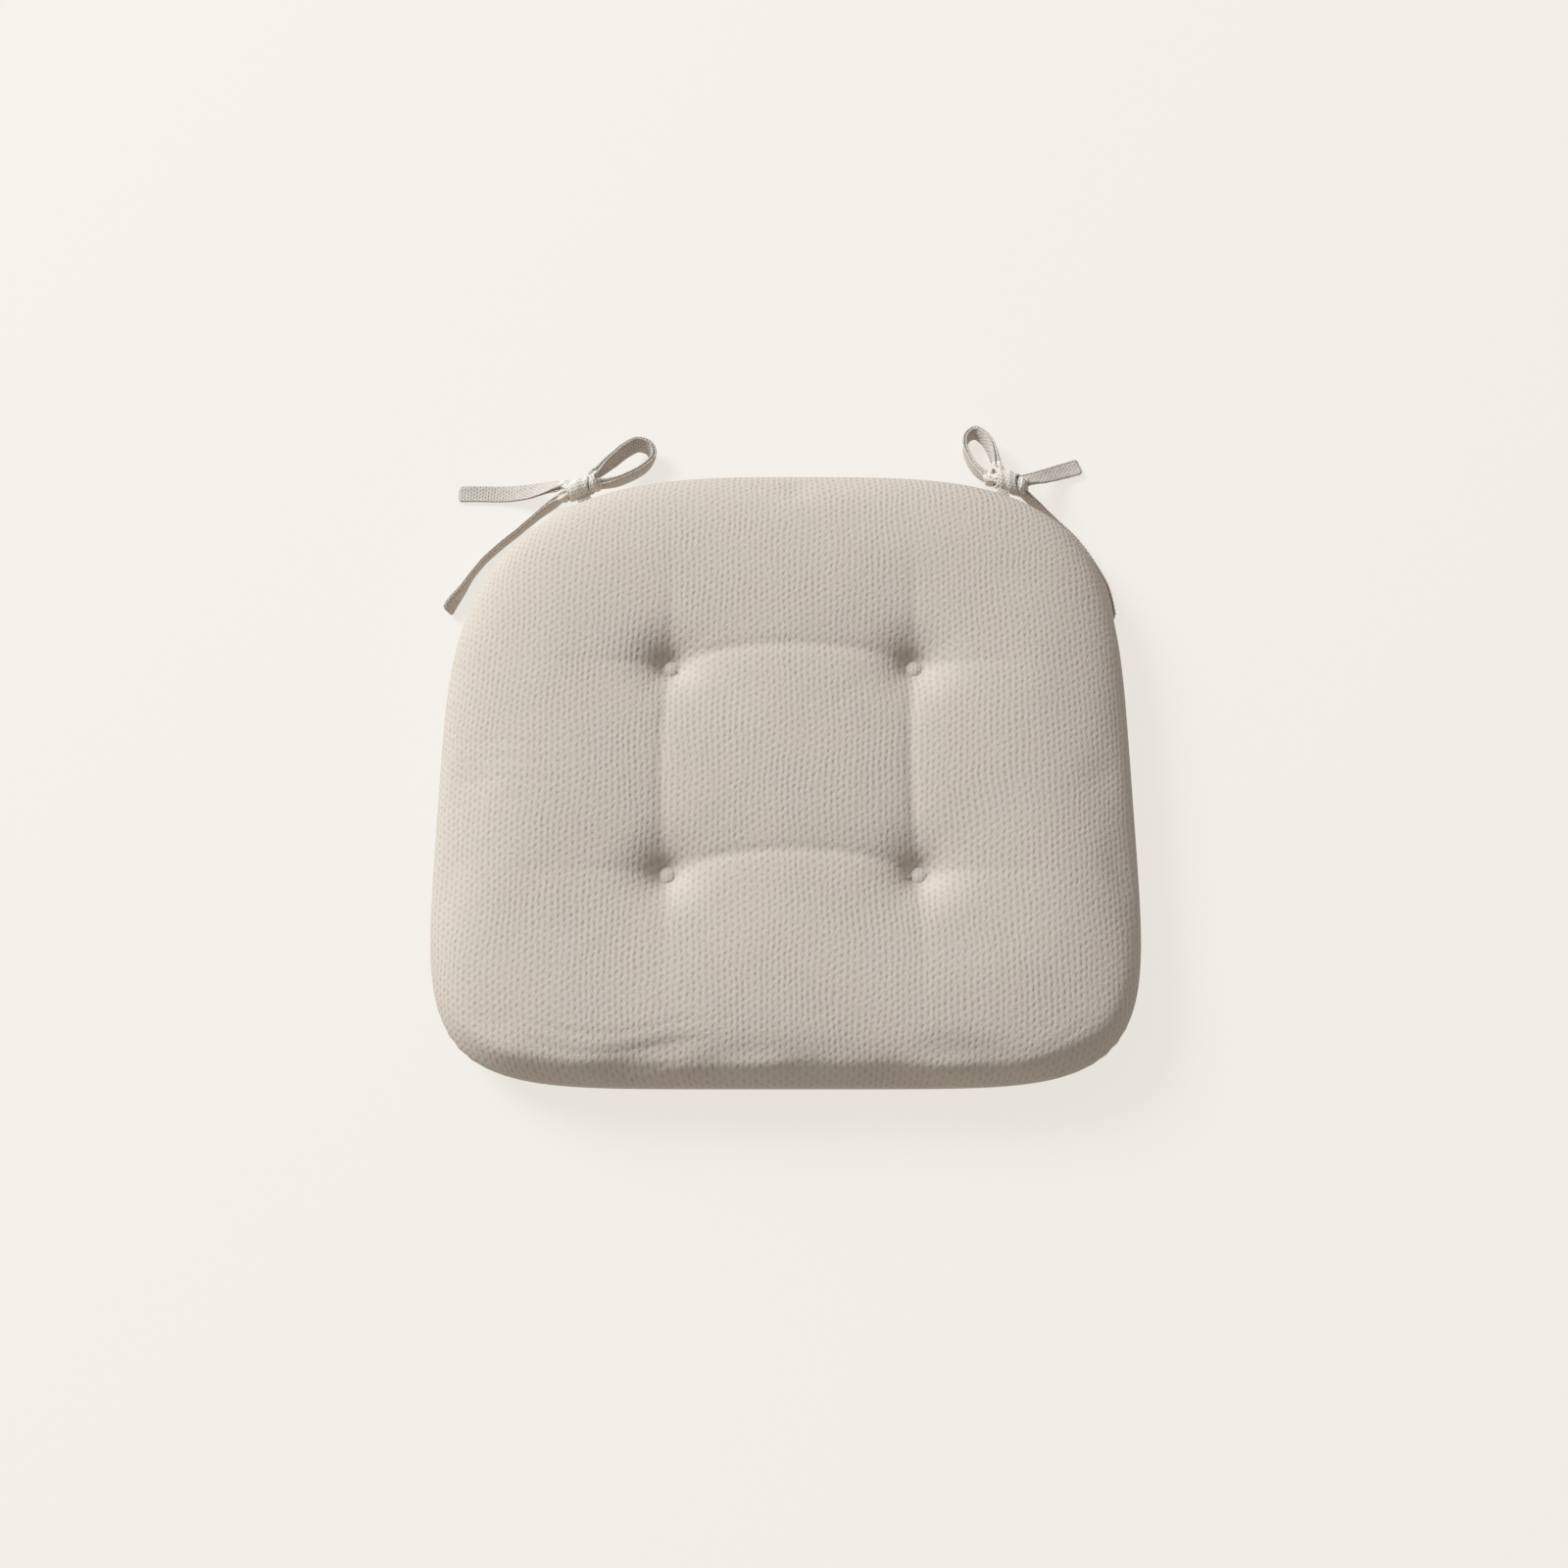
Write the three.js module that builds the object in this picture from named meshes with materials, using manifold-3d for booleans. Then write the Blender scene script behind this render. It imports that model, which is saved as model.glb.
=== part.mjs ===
// Chair seat pad: a tufted pad for a dining chair, with a fabric tie in a bow at each back corner.
// Millimetres. +X is to the right as seen from the front, +Y is towards the chair's back, +Z is up.
// The origin is on the surface that the pad lies on, under the middle of the pad.
import * as THREE from 'three';
import { mergeVertices } from 'three/addons/utils/BufferGeometryUtils.js';
import Module from 'manifold-3d';

// The pad's plan: each quarter is a superellipse, and the width tapers towards the back.
const padDepth = 385;
const middleWidth = 414;
const sideTaper = 0.011;
const squareness = { backLeft: 3, backRight: 3.8, front: 5.9 };

// The pad's section: the two covers meet in a seam part of the way up.
const padHeight = 50;
const seamHeight = 22;
const crownPower = 8;
const flatShare = 0.78;
const fabric = 1.2;
const gap = 0.3;
const flangeWidth = 14;
const stitchInset = 5;
const stitchThread = 0.9;

// The filling.
const foamInset = 22;
const foamBottom = 12;
const foamTop = 33;

// The tufts: a covered button on top is tied down to a flat anchor button underneath.
const tufts = {
  back_left: [-69, 59],
  back_right: [77.5, 59],
  front_left: [-69, -70],
  front_right: [77.5, -70],
};
const dimpleDepth = 12;
const dimpleSpread = 22;
const seat = { height: 33, radius: 8 };
const recess = { height: 6, radius: 9 };
const twineHole = 2.3;
const button = { radius: 5.3, height: 3.6, fabric: 0.5 };
const shank = { radius: 1.6, length: 2.8 };
const anchor = { radius: 7, thickness: 2, hole: 1 };
const twine = { radius: 0.7, knot: 1.7 };

// The ties: a strip of folded fabric, sewn into the seam by its middle.
const tieWidth = 10.4;
const tieThickness = 1.6;
const rootInside = 8;
const knotSize = [22, 11.5, 12.5];
const knotStandOff = { left: 11, right: 11.5 };

// How finely round things are divided.
const roundSteps = 48;
const crownRings = [0.16, 0.28, 0.37, 0.45, 0.54, 0.65, 0.78, 0.88, 0.94, 0.98];
const baseRings = [0.3, 0.55, flatShare, 0.87, 0.94, 0.98];
const smallSteps = 12;

const finish = {
  cover: new THREE.MeshStandardMaterial({ color: 0xc3b9ac, roughness: 0.95, metalness: 0 }),
  tie: new THREE.MeshStandardMaterial({ color: 0xb4aa9c, roughness: 0.95, metalness: 0 }),
  foam: new THREE.MeshStandardMaterial({ color: 0xeadfb8, roughness: 0.9, metalness: 0 }),
  wadding: new THREE.MeshStandardMaterial({ color: 0xf2f1ec, roughness: 1, metalness: 0 }),
  thread: new THREE.MeshStandardMaterial({ color: 0xcfc6ba, roughness: 0.8, metalness: 0 }),
  metal: new THREE.MeshStandardMaterial({ color: 0xb8bcc0, roughness: 0.35, metalness: 1 }),
  plastic: new THREE.MeshStandardMaterial({ color: 0xe6e1d6, roughness: 0.45, metalness: 0 }),
};

const manifold = await Module();
manifold.setup();

// A closed manifold solid from a three.js geometry. Triangles that closed up at a pole are left out.
function solidOf(geometry) {
  const bare = geometry.clone();
  bare.deleteAttribute('normal');
  bare.deleteAttribute('uv');
  const merged = mergeVertices(bare, 1e-3);
  const kept = [];
  for (let i = 0; i < merged.index.count; i += 3) {
    const [a, b, c] = [0, 1, 2].map((k) => merged.index.getX(i + k));
    if (a !== b && b !== c && c !== a) {
      kept.push(a, b, c);
    }
  }
  return new manifold.Manifold(new manifold.Mesh({
    numProp: 3,
    vertProperties: new Float32Array(merged.attributes.position.array),
    triVerts: new Uint32Array(kept),
  }));
}

function geometryOf(solid) {
  const mesh = solid.getMesh();
  const geometry = new THREE.BufferGeometry();
  geometry.setAttribute('position', new THREE.BufferAttribute(mesh.vertProperties, 3));
  geometry.setIndex(new THREE.BufferAttribute(mesh.triVerts, 1));
  geometry.computeVertexNormals();
  return geometry;
}

// The distance from the middle of the pad to its outline, in one direction in plan.
function outlineRadius(angle) {
  const [c, s] = [Math.cos(angle), Math.sin(angle)];
  const backPower = c < 0 ? squareness.backLeft : squareness.backRight;
  const power = s > 0 ? backPower : squareness.front;
  let low = 0;
  let high = middleWidth;
  for (let i = 0; i < 40; i += 1) {
    const radius = (low + high) / 2;
    const halfWidth = middleWidth / 2 - sideTaper * radius * s;
    const across = Math.abs(radius * c / halfWidth) ** power;
    const along = Math.abs(radius * s / (padDepth / 2)) ** power;
    if (across + along < 1) {
      low = radius;
    } else {
      high = radius;
    }
  }
  return low;
}

// A shape turned about the vertical, from points given as radius and height.
// They run from the top of the axis, down the outside, to the bottom of the axis.
function turned(points, steps) {
  const profile = points.map(([radius, height]) => new THREE.Vector2(radius, height)).reverse();
  const geometry = new THREE.LatheGeometry(profile, steps);
  geometry.rotateX(Math.PI / 2);
  return geometry;
}

// A turned shape of radius 1, pushed out to the pad's outline less an inset.
// shapeHeight gives each point's height from its mark, its share of the way out and its place.
function padShape(profile, inset, shapeHeight) {
  const geometry = turned(profile, roundSteps);
  const place = geometry.attributes.position;
  for (let i = 0; i < place.count; i += 1) {
    const share = Math.hypot(place.getX(i), place.getY(i));
    const angle = Math.atan2(place.getY(i), place.getX(i));
    const whole = share * outlineRadius(angle);
    const shrunk = share * (outlineRadius(angle) - inset);
    const height = shapeHeight(place.getZ(i), share, whole * Math.cos(angle), whole * Math.sin(angle));
    place.setXYZ(i, shrunk * Math.cos(angle), shrunk * Math.sin(angle), height);
  }
  return solidOf(geometry);
}

// How far the tufts pull the top down at one place.
function dimple(x, y) {
  let depth = 0;
  for (const [tuftX, tuftY] of Object.values(tufts)) {
    const away = Math.hypot(x - tuftX, y - tuftY) / dimpleSpread;
    depth += dimpleDepth * Math.exp(-away * away);
  }
  return depth;
}

function crownHeight(share, x, y) {
  const rise = Math.sqrt(1 - Math.min(share, 1) ** crownPower);
  return seamHeight + (padHeight - seamHeight) * rise - dimple(x, y);
}

function undersideHeight(share) {
  const out = Math.max(0, (share - flatShare) / (1 - flatShare));
  return seamHeight * (1 - Math.sqrt(1 - Math.min(out, 1) ** 2));
}

// A profile whose heights are only marks: 1 on the curved surface, 0 on the flat side at the seam.
function shellProfile(rings) {
  return [...[0, ...rings, 1].map((share) => [share, 1]), [1, 0], [0, 0]];
}

// The upper half of the pad, less a skin, standing on a flat base.
function crownSolid(skin, base) {
  return padShape(shellProfile(crownRings), skin, (mark, share, x, y) => {
    const surface = Math.max(crownHeight(share, x, y) - skin, base + gap);
    return mark > 0.5 ? surface : base;
  }).subtract(wells(skin));
}

// The lower half of the pad, less a skin, hanging from a flat top.
function undersideSolid(skin, top) {
  return padShape(shellProfile(baseRings).reverse(), skin, (mark, share) => {
    const surface = Math.min(undersideHeight(share) + skin, top - gap);
    return mark > 0.5 ? surface : top;
  }).subtract(recesses(skin));
}

function cylinder(radius, bottom, top, x, y, steps = smallSteps) {
  const geometry = new THREE.CylinderGeometry(radius, radius, top - bottom, steps);
  geometry.rotateX(Math.PI / 2);
  geometry.translate(x, y, (top + bottom) / 2);
  return solidOf(geometry);
}

function atEachTuft(make) {
  return manifold.Manifold.union(Object.values(tufts).map(([x, y]) => make(x, y)));
}

function wells(skin) {
  return atEachTuft((x, y) => cylinder(seat.radius + skin, seat.height - skin, padHeight + 9, x, y));
}

function recesses(skin) {
  return atEachTuft((x, y) => cylinder(recess.radius + skin, -9, recess.height + skin, x, y));
}

function twineHoles(radius) {
  return atEachTuft((x, y) => cylinder(radius, -9, padHeight + 9, x, y));
}

// A flat slab with the pad's outline less an inset.
function slab(inset, bottom, top) {
  return padShape([[0, top], [1, top], [1, bottom], [0, bottom]], inset, (mark) => mark);
}

// The stitched ring, or the room for it, of a square section.
function seamRing(size) {
  const middle = middleWidth / 2;
  const half = size / 2;
  const square = [[-half, half], [half, half], [half, -half], [-half, -half], [-half, half]];
  const profile = square.map(([x, z]) => [1 + x / middle, z]);
  return padShape(profile, stitchInset, (mark) => seamHeight + mark);
}

// A tie's corner: where its root leaves the seam, the way out, and the knot's middle.
function tieCorner(angle, standOff) {
  const step = 0.01;
  const at = (turn) => {
    const radius = outlineRadius(turn);
    return new THREE.Vector3(radius * Math.cos(turn), radius * Math.sin(turn), seamHeight);
  };
  const edge = at(angle);
  const along = at(angle - step).sub(at(angle + step)).normalize();
  const out = new THREE.Vector3(-along.y, along.x, 0);
  const reach = standOff - knotSize[1] / 2 - gap;
  return { edge, along, out, reach, knot: edge.clone().addScaledVector(out, standOff) };
}

const corners = {
  left: tieCorner(THREE.MathUtils.degToRad(125.5), knotStandOff.left),
  right: tieCorner(THREE.MathUtils.degToRad(53), knotStandOff.right),
};

// A box whose X, Y and Z sides follow the corner's seam, its way out and the vertical.
function cornerBox(corner, size, outward, height) {
  const geometry = new THREE.BoxGeometry(...size);
  const frame = new THREE.Matrix4().makeBasis(corner.along, corner.out, new THREE.Vector3(0, 0, 1));
  const middle = corner.edge.clone().addScaledVector(corner.out, outward);
  middle.z = height;
  geometry.applyMatrix4(frame.setPosition(middle));
  return geometry;
}

const rootPlies = 2 * tieThickness;
const tackSize = [tieWidth - 1, 2, 0.8];
const tackHeight = seamHeight + rootPlies / 2 + gap + tackSize[2] / 2;

// The room for both roots, from just behind their inner ends to well outside the seam.
function rootSlots() {
  const slotHeight = rootPlies + 2 * (2 * gap + tackSize[2]);
  const [inner, outer] = [rootInside + gap, 12];
  const size = [tieWidth + 2 * gap, inner + outer, slotHeight];
  const boxes = Object.values(corners).map((corner) => {
    return solidOf(cornerBox(corner, size, (outer - inner) / 2, seamHeight));
  });
  return manifold.Manifold.union(boxes);
}

// A strip of fabric along a smooth route. Each stop is a point and the way the strip's width runs there.
function strip(stops, steps) {
  const points = stops.map(([x, y, z]) => new THREE.Vector3(x, y, z));
  const route = new THREE.CatmullRomCurve3(points, false, 'centripetal');
  const widths = stops.map(([, , , lean]) => lean);
  const geometry = new THREE.BoxGeometry(1, tieWidth, tieThickness, steps, 1, 1);
  const place = geometry.attributes.position;
  const point = new THREE.Vector3();
  for (let i = 0; i < place.count; i += 1) {
    const share = place.getX(i) + 0.5;
    const span = share * (stops.length - 1);
    const stop = Math.min(Math.floor(span), stops.length - 2);
    const lean = THREE.MathUtils.degToRad(THREE.MathUtils.lerp(widths[stop], widths[stop + 1], span - stop));
    const forward = route.getTangent(share);
    const level = new THREE.Vector3(-forward.y, forward.x, 0).normalize();
    const upright = new THREE.Vector3().crossVectors(forward, level);
    const across = level.clone().multiplyScalar(Math.cos(lean)).addScaledVector(upright, Math.sin(lean));
    const thick = new THREE.Vector3().crossVectors(forward, across);
    point.copy(route.getPoint(share));
    point.addScaledVector(across, place.getY(i)).addScaledVector(thick, place.getZ(i));
    place.setXYZ(i, point.x, point.y, point.z);
  }
  return geometry;
}

// Each stop along a tie: X, Y, Z, and how far the strip's width leans up from level, in degrees.
const routes = {
  left_loop: [
    [-121.5, 197.5, 19.5, 80], [-111, 209.5, 16, 70], [-102.5, 219.5, 12, 64], [-95, 225, 8.8, 62],
    [-88, 223.5, 7.2, 66], [-85, 217, 6.6, 76], [-89, 209.5, 7.4, 86], [-97.5, 201.5, 10.8, 88],
    [-108, 194.5, 15, 88], [-119, 190.5, 19, 90],
  ],
  left_flat_tail: [
    [-141.5, 189.5, 19.5, 40], [-150.5, 190.5, 15, 24], [-160, 191.5, 9, 10], [-171, 192, 4.4, 3],
    [-182.5, 192.5, 1.8, 0], [-196.5, 193, 1.2, 0], [-210.5, 193, 1.2, 0],
  ],
  left_edge_tail: [
    [-141, 181.5, 20, 90], [-146.5, 179.5, 15.5, 90], [-153.5, 176.5, 9.8, 88], [-163, 170, 6.4, 85],
    [-173, 161, 5.6, 84], [-182.5, 152, 5.6, 84], [-191.5, 142.5, 5.6, 84], [-198.5, 132.5, 5.6, 86],
    [-203.5, 123.5, 5.6, 96], [-208, 116.5, 5.6, 108], [-212, 109, 5.4, 114],
  ],
  right_loop: [
    [134, 203, 19.5, 94], [133, 212, 16, 100], [131, 221.5, 12.4, 104], [127.5, 229.5, 9.2, 106],
    [122.5, 233.5, 7.4, 106], [118, 231, 6.8, 100], [116.5, 224, 7, 94], [118.5, 214.5, 9, 90],
    [122.5, 204.5, 13, 90], [129, 195, 18.4, 90],
  ],
  right_flat_tail: [
    [151, 192.5, 19.5, -32], [158, 196.5, 15.4, -20], [165, 200.5, 10.4, -10], [172.5, 205, 5.6, -5],
    [181, 209, 2.8, -2], [190.5, 212.5, 1.8, 0],
  ],
  right_edge_tail: [
    [149.5, 185.5, 20, 90], [156, 181.5, 15.6, 90], [165, 175.5, 10, 90], [174.5, 167.5, 6.6, 90],
    [184, 158, 5.6, 90], [191, 147.5, 5.6, 90], [197, 136.5, 5.6, 90], [202, 125.5, 5.6, 90],
    [204.5, 114.5, 5.6, 90], [206, 104.5, 5.6, 90],
  ],
};

function knotGeometry(corner) {
  const geometry = new THREE.SphereGeometry(0.5, 14, 9);
  geometry.rotateX(Math.PI / 2);
  geometry.scale(...knotSize);
  const frame = new THREE.Matrix4().makeBasis(corner.along, corner.out, new THREE.Vector3(0, 0, 1));
  geometry.applyMatrix4(frame.setPosition(corner.knot));
  return geometry;
}

const buttonBase = seat.height + gap;

function buttonCover() {
  const [r, h, t] = [button.radius, button.height, button.fabric];
  const z = buttonBase;
  return turned([
    [0, z + h], [r * 0.55, z + h * 0.86], [r * 0.9, z + h * 0.55], [r, z + h * 0.2], [r * 0.96, z],
    [r * 0.96 - t, z], [r - t, z + h * 0.2], [r * 0.9 - t, z + h * 0.5], [r * 0.55 - t, z + h * 0.86 - t],
    [0, z + h - t],
  ], smallSteps);
}

function buttonMould() {
  const inner = button.radius - button.fabric - gap;
  const top = buttonBase + button.height - button.fabric - 2 * gap;
  const lip = inner * 0.93;
  return turned([
    [0, top], [inner * 0.5, top - 0.5], [inner * 0.85, buttonBase + button.height * 0.4],
    [lip, buttonBase + button.height * 0.15], [lip, buttonBase], [shank.radius, buttonBase],
    [shank.radius, buttonBase - shank.length], [0, buttonBase - shank.length],
  ], smallSteps);
}

function tuftTwine() {
  const top = buttonBase - shank.length - gap;
  const knotTop = recess.height - 2 * gap - anchor.thickness;
  return turned([
    [0, top], [twine.radius, top], [twine.radius, knotTop], [twine.knot * 0.8, knotTop],
    [twine.knot, knotTop - 0.6], [twine.knot * 0.7, knotTop - 1.4], [0, knotTop - 1.6],
  ], smallSteps);
}

function anchorButton() {
  const top = recess.height - gap;
  const bottom = top - anchor.thickness;
  return turned([
    [anchor.hole, top], [anchor.radius - 0.8, top],
    [anchor.radius, top - 0.5], [anchor.radius, bottom + 0.5],
    [anchor.radius - 0.8, bottom], [anchor.radius - 2, bottom + 0.4], [anchor.hole, bottom + 0.4],
    [anchor.hole, top],
  ], smallSteps);
}

const pad = new THREE.Group();

function add(name, geometry, material) {
  const mesh = new THREE.Mesh(geometry, material);
  mesh.name = name;
  pad.add(mesh);
}

// The covers: each is a skin with its seam allowance turned in, open in the middle.
const slots = rootSlots();
const holes = twineHoles(twineHole);
const groove = seamRing(stitchThread + 2 * gap);
const upperSeam = seamHeight + gap / 2;
const lowerSeam = seamHeight - gap / 2;
const mouth = slab(flangeWidth, seamHeight - 3, seamHeight + 3);
const upperInside = crownSolid(fabric, upperSeam + fabric).add(mouth);
const lowerInside = undersideSolid(fabric, lowerSeam - fabric).add(mouth);
const cuts = slots.add(holes).add(groove);
const topCover = crownSolid(0, upperSeam).subtract(upperInside).subtract(cuts);
const bottomCover = undersideSolid(0, lowerSeam).subtract(lowerInside).subtract(cuts);
add('top_cover', geometryOf(topCover), finish.cover);
add('bottom_cover', geometryOf(bottomCover), finish.cover);
add('seam_thread', geometryOf(seamRing(stitchThread)), finish.thread);

// The filling: a foam slab between two layers of wadding.
const fillingSkin = fabric + gap;
const foamRoom = slab(foamInset - gap, foamBottom - gap, foamTop + gap);
const upperLayer = crownSolid(fillingSkin, upperSeam + fillingSkin);
const lowerLayer = undersideSolid(fillingSkin, lowerSeam - fillingSkin);
const fillingCuts = slots.add(holes).add(foamRoom);
const foamCuts = holes.add(wells(fillingSkin + 2 * gap));
add('foam_core', geometryOf(slab(foamInset, foamBottom, foamTop).subtract(foamCuts)), finish.foam);
add('upper_wadding', geometryOf(upperLayer.subtract(fillingCuts)), finish.wadding);
add('lower_wadding', geometryOf(lowerLayer.subtract(fillingCuts)), finish.wadding);

for (const [corner, [x, y]] of Object.entries(tufts)) {
  add(`button_cover_${corner}`, buttonCover().translate(x, y, 0), finish.cover);
  add(`button_mould_${corner}`, buttonMould().translate(x, y, 0), finish.metal);
  add(`tuft_twine_${corner}`, tuftTwine().translate(x, y, 0), finish.thread);
  add(`anchor_button_${corner}`, anchorButton().translate(x, y, 0), finish.plastic);
}

for (const [side, corner] of Object.entries(corners)) {
  const rootSize = [tieWidth, rootInside + corner.reach, rootPlies];
  const root = solidOf(cornerBox(corner, rootSize, (corner.reach - rootInside) / 2, seamHeight));
  add(`${side}_tie_root`, geometryOf(root.subtract(groove)), finish.tie);
  add(`${side}_bar_tack`, cornerBox(corner, tackSize, -rootInside / 2, tackHeight), finish.thread);
  add(`${side}_knot`, knotGeometry(corner), finish.tie);
}

const stripSteps = { loop: 22, flat_tail: 14, edge_tail: 18 };
for (const [name, stops] of Object.entries(routes)) {
  const kind = name.slice(name.indexOf('_') + 1);
  add(name, strip(stops, stripSteps[kind]), finish.tie);
}

export default pad;
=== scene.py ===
# %% [markdown]
# # A tufted chair seat pad
# The pad is two woven covers sewn round the edge, stuffed with foam and fibre, and pulled down at four
# places by covered buttons. A folded strip of the same cloth leaves the seam at each back corner and is
# tied in a bow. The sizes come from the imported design, so this file only makes the looks.

# %% Load the design
import math

import bmesh
import bpy
import numpy as np
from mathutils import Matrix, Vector, noise


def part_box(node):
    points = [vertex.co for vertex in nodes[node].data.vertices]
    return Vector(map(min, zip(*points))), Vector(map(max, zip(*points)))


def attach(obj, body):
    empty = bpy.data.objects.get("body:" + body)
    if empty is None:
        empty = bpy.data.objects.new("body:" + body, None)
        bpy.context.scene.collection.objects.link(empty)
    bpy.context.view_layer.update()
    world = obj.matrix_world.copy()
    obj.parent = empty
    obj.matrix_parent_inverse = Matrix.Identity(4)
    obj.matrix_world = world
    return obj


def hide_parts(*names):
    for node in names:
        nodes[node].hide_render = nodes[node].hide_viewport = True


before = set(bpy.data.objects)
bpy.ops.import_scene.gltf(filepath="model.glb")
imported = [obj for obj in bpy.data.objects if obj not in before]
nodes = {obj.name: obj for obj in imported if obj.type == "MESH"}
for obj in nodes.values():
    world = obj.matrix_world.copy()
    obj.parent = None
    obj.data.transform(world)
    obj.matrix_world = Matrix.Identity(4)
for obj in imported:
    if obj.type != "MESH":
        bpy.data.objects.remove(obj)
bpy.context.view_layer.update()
MM = 0.001
SIDES = ("left", "right")
TUFTS = ("back_left", "back_right", "front_left", "front_right")


def middle_of(node):
    low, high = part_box(node)
    return (np.array(low) + np.array(high)) / 2


cover_low, cover_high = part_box("top_cover")
SEAM_Z = cover_low[2]
CROWN_Z = cover_high[2]
HALF_DEPTH = (cover_high[1] - cover_low[1]) / 2
print("pad", [round(1000 * (h - l)) for l, h in zip(cover_low, cover_high)], "mm above the seam")

# %% [markdown]
# ## The camera, the floor and the light
# A pad shows its outline and its tufts best from high in front. One broad light stands behind it on the
# left, so that every dimple has a shaded side and a lit side, and a soft sky fills the rest. The floor
# glows, which keeps it pale without a light of its own.

# %% Camera
CAMERA_ELEVATION = math.radians(72)
CAMERA_DISTANCE = 1.1
LENS = 42
AIM = Vector((-0.001, -0.0085, 0.018))
camera = bpy.data.objects.new("camera", bpy.data.cameras.new("camera"))
bpy.context.collection.objects.link(camera)
camera.data.lens = LENS
camera.data.sensor_width = 36
back = Vector((0, -math.cos(CAMERA_ELEVATION), math.sin(CAMERA_ELEVATION)))
camera.location = AIM + back * CAMERA_DISTANCE
camera.rotation_euler = (-back).to_track_quat("-Z", "Y").to_euler()
bpy.context.scene.camera = camera
bpy.context.scene.view_settings.view_transform = "Standard"

# %% Small helpers for shader nodes


def feed(tree, socket, value):
    """Gives an input its value: a link from another node's socket, or a plain number or colour."""
    if isinstance(value, bpy.types.NodeSocket):
        tree.links.new(value, socket)
    else:
        socket.default_value = value


def put(tree, kind, inputs=(), **settings):
    """Adds a node. Its inputs, in order, are numbers, colours or sockets, and None is left alone."""
    node = tree.nodes.new(kind)
    for key, value in settings.items():
        setattr(node, key, value)
    for socket, value in zip(node.inputs, inputs):
        if value is not None:
            feed(tree, socket, value)
    return node


def calc(tree, operation, *inputs, clamp=False):
    return put(tree, "ShaderNodeMath", inputs, operation=operation, use_clamp=clamp).outputs[0]


def mix_colour(tree, share, first, second):
    node = put(tree, "ShaderNodeMix", data_type="RGBA")
    for name, value in (("Factor_Float", share), ("A_Color", first), ("B_Color", second)):
        feed(tree, next(s for s in node.inputs if s.identifier == name), value)
    return next(s for s in node.outputs if s.identifier == "Result_Color")


def new_material(name):
    material = bpy.data.materials.new(name)
    material.use_nodes = True
    return material, material.node_tree, material.node_tree.nodes["Principled BSDF"]


def add_bump(tree, shader, height, depth):
    """A relief for a shader, from heights and the metres that a height of 1 stands for."""
    bump = put(tree, "ShaderNodeBump")
    bump.inputs["Distance"].default_value = depth
    tree.links.new(height, bump.inputs["Height"])
    tree.links.new(bump.outputs[0], shader.inputs["Normal"])


def object_places(tree):
    return put(tree, "ShaderNodeTexCoord").outputs["Object"]


# %% Floor and light
FLOOR_COLOUR = (0.905, 0.868, 0.80, 1)
FLOOR_GLOW = 0.825
FLOOR_REACH = 40
BRIGHT_WAY = Vector((-0.5, 0.6, 0.62)).normalized()
SKY_LEAST = 0.1
SKY_MOST = 0.75
WARM_SKY = (1, 0.87, 0.74, 1)
COOL_SKY = (0.93, 1.01, 1.06, 1)


def make_stage():
    mesh = bpy.data.meshes.new("floor")
    corners = [(FLOOR_REACH * a, FLOOR_REACH * b, 0) for a, b in ((-1, -1), (1, -1), (1, 1), (-1, 1))]
    mesh.from_pydata(corners, [], [(0, 1, 2, 3)])
    floor = bpy.data.objects.new("floor", mesh)
    bpy.context.collection.objects.link(floor)
    material, _, shader = new_material("floor")
    shader.inputs["Base Color"].default_value = (0.14, 0.14, 0.135, 1)
    shader.inputs["Roughness"].default_value = 1
    shader.inputs["Specular IOR Level"].default_value = 0
    shader.inputs["Emission Color"].default_value = FLOOR_COLOUR
    shader.inputs["Emission Strength"].default_value = FLOOR_GLOW
    mesh.materials.append(material)
    world = bpy.data.worlds.new("studio")
    world.use_nodes = True
    tree = world.node_tree
    direction = put(tree, "ShaderNodeTexCoord").outputs["Generated"]
    bright_way = put(tree, "ShaderNodeVectorMath", (direction, BRIGHT_WAY), operation="DOT_PRODUCT")
    share = calc(tree, "MULTIPLY_ADD", bright_way.outputs["Value"], 0.5, 0.5, clamp=True)
    strength = calc(tree, "MULTIPLY_ADD", calc(tree, "POWER", share, 1.6), SKY_MOST - SKY_LEAST, SKY_LEAST)
    colour = mix_colour(tree, share, WARM_SKY, COOL_SKY)
    tree.links.new(colour, tree.nodes["Background"].inputs["Color"])
    tree.links.new(strength, tree.nodes["Background"].inputs["Strength"])
    bpy.context.scene.world = world


def area_light(name, place, size, power, colour):
    """A round light that faces the pad. Its place and size are in metres, and its power is in watts."""
    data = bpy.data.lights.new(name, "AREA")
    data.shape = "DISK"
    data.size = size
    data.energy = power
    data.color = colour
    light = bpy.data.objects.new(name, data)
    light.location = place
    light.rotation_euler = (Vector((0, 0, 0.02)) - Vector(place)).to_track_quat("-Z", "Y").to_euler()
    bpy.context.collection.objects.link(light)


make_stage()
area_light("key", (-4.2, 3.2, 3.9), 2.8, 450, (0.93, 1.01, 1.07))

# %% [markdown]
# ## The route of each tie
# A tie is a strip folded to about 10 mm wide. Its free strands leave the knot, come down to the surface
# that the pad lies on, and rest there: one tail lies flat, and the loop and the other tail stand on edge.
# Each stop is X, Y, Z in millimetres and the lean of the strip's width, as in the design.

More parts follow.
